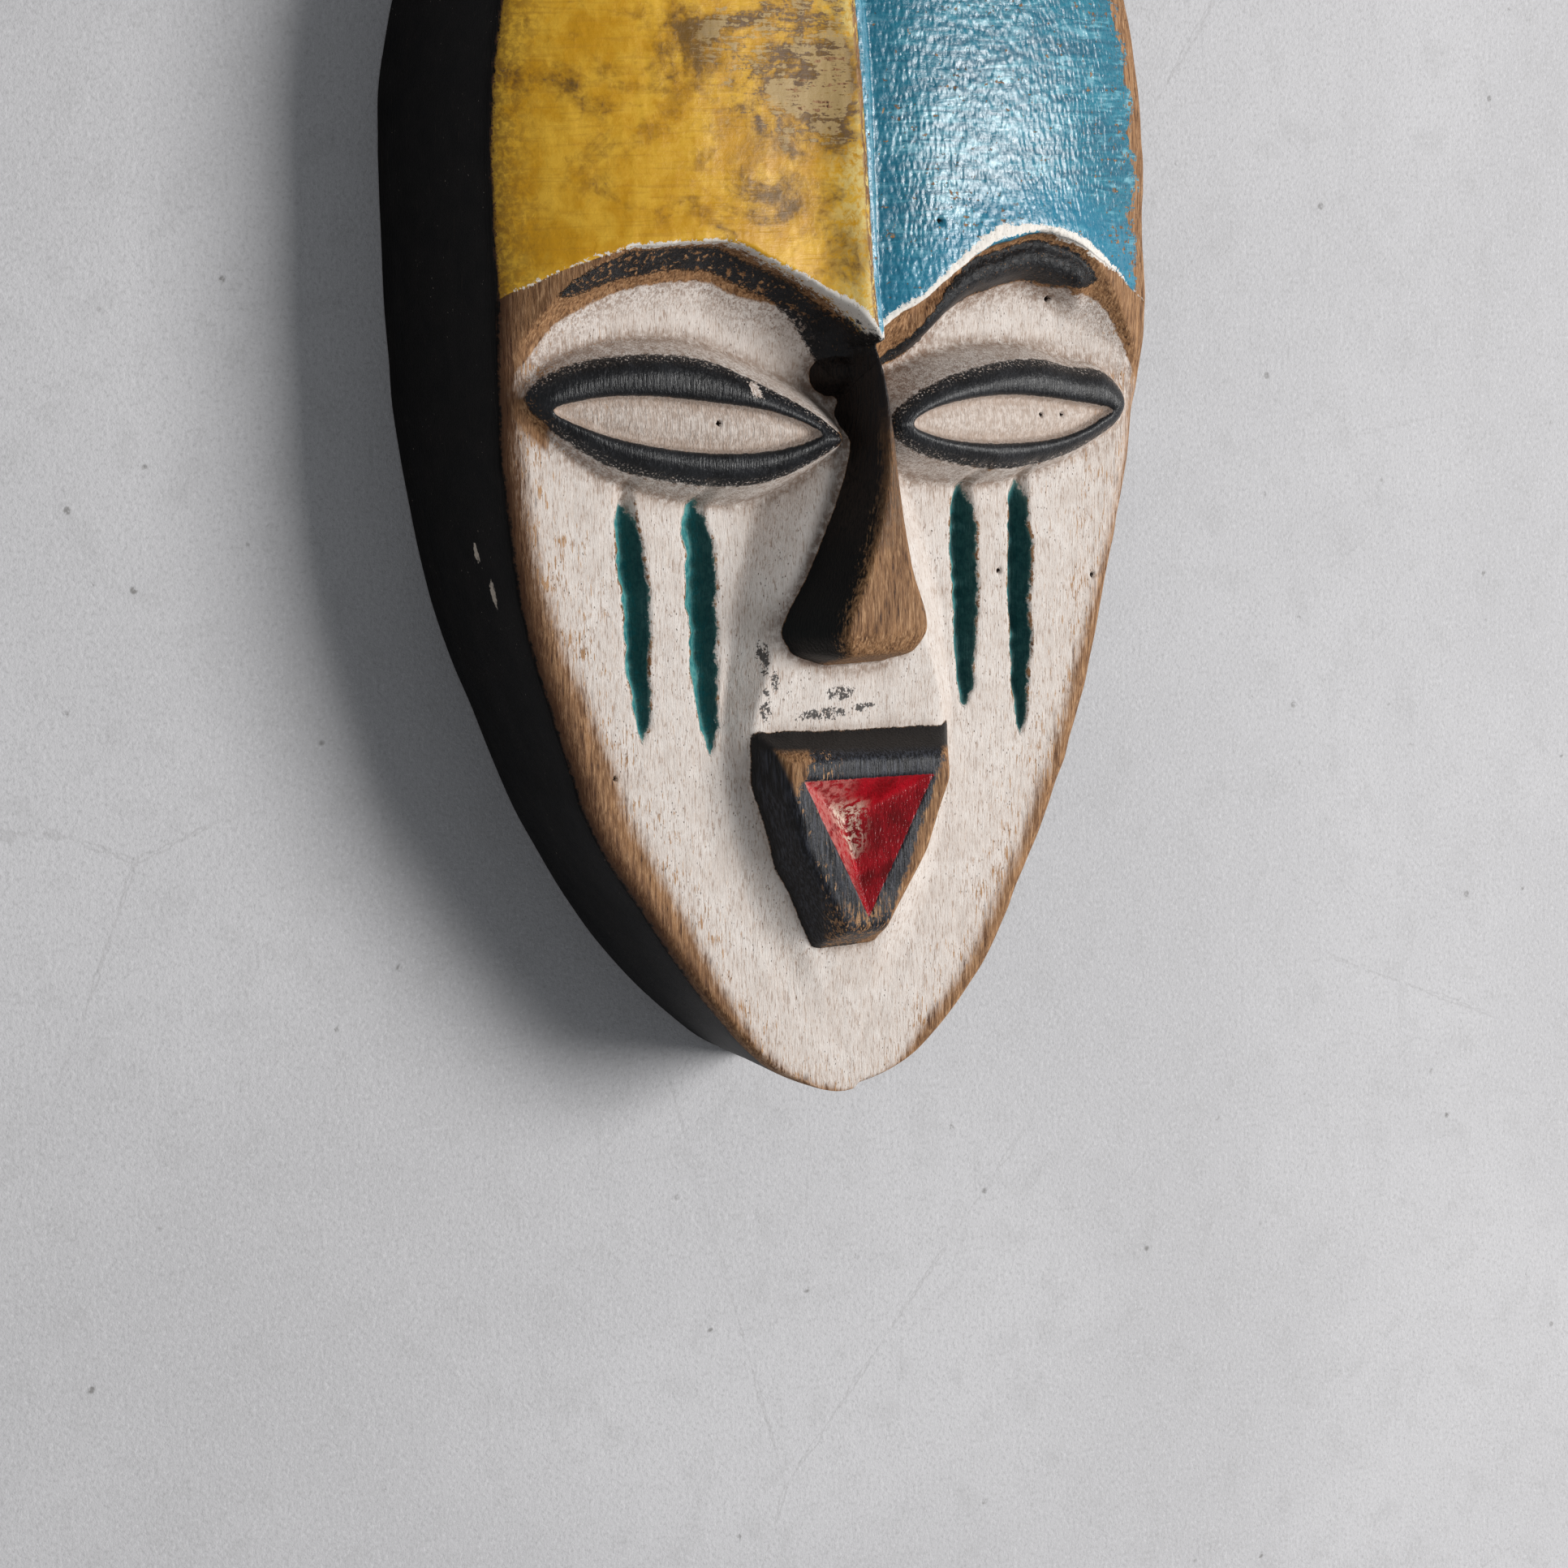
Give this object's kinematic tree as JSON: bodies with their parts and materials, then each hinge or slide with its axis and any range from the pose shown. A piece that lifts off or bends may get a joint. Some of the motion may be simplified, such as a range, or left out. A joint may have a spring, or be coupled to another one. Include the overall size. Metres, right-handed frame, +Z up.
{
  "type": "carved wooden mask",
  "caption": "Carved wooden wall mask with a long oval face, domed forehead, almond eyes, wedge nose, block mouth and tear grooves, hollow behind, hung by a hinged ring.",
  "frame": {"origin": "the wall nail's contact point inside the arch of the hanger ring, in the plane of the wall", "axes": "+Z up along the mask's length, +Y out of the mask's back into the wall, the face looks towards -Y, +X to the right of a viewer who faces it"},
  "size_m": [0.216, 0.0835, 0.3741],
  "materials": {
    "painted_wood": "worn paint in cream, yellow, blue, black, green and red over carved brown wood",
    "plated_strip": "plated sheet steel",
    "brass_wire": "brass-plated wire",
    "zinc_screws": "zinc-plated"
  },
  "bodies": {
    "mask": {"mask_body": "painted_wood", "hanger_strap": "plated_strip", "hanger_screw_1": "zinc_screws", "hanger_screw_2": "zinc_screws"},
    "ring": {"hanger_ring": "brass_wire"}
  },
  "joints": [
    {"name": "ring_swing", "type": "hinge", "parent": "mask", "child": "ring", "pos_m": [0, -0.0023, -0.011], "axis": [-1, 0, 0], "range_deg": [0, 170]}
  ]
}
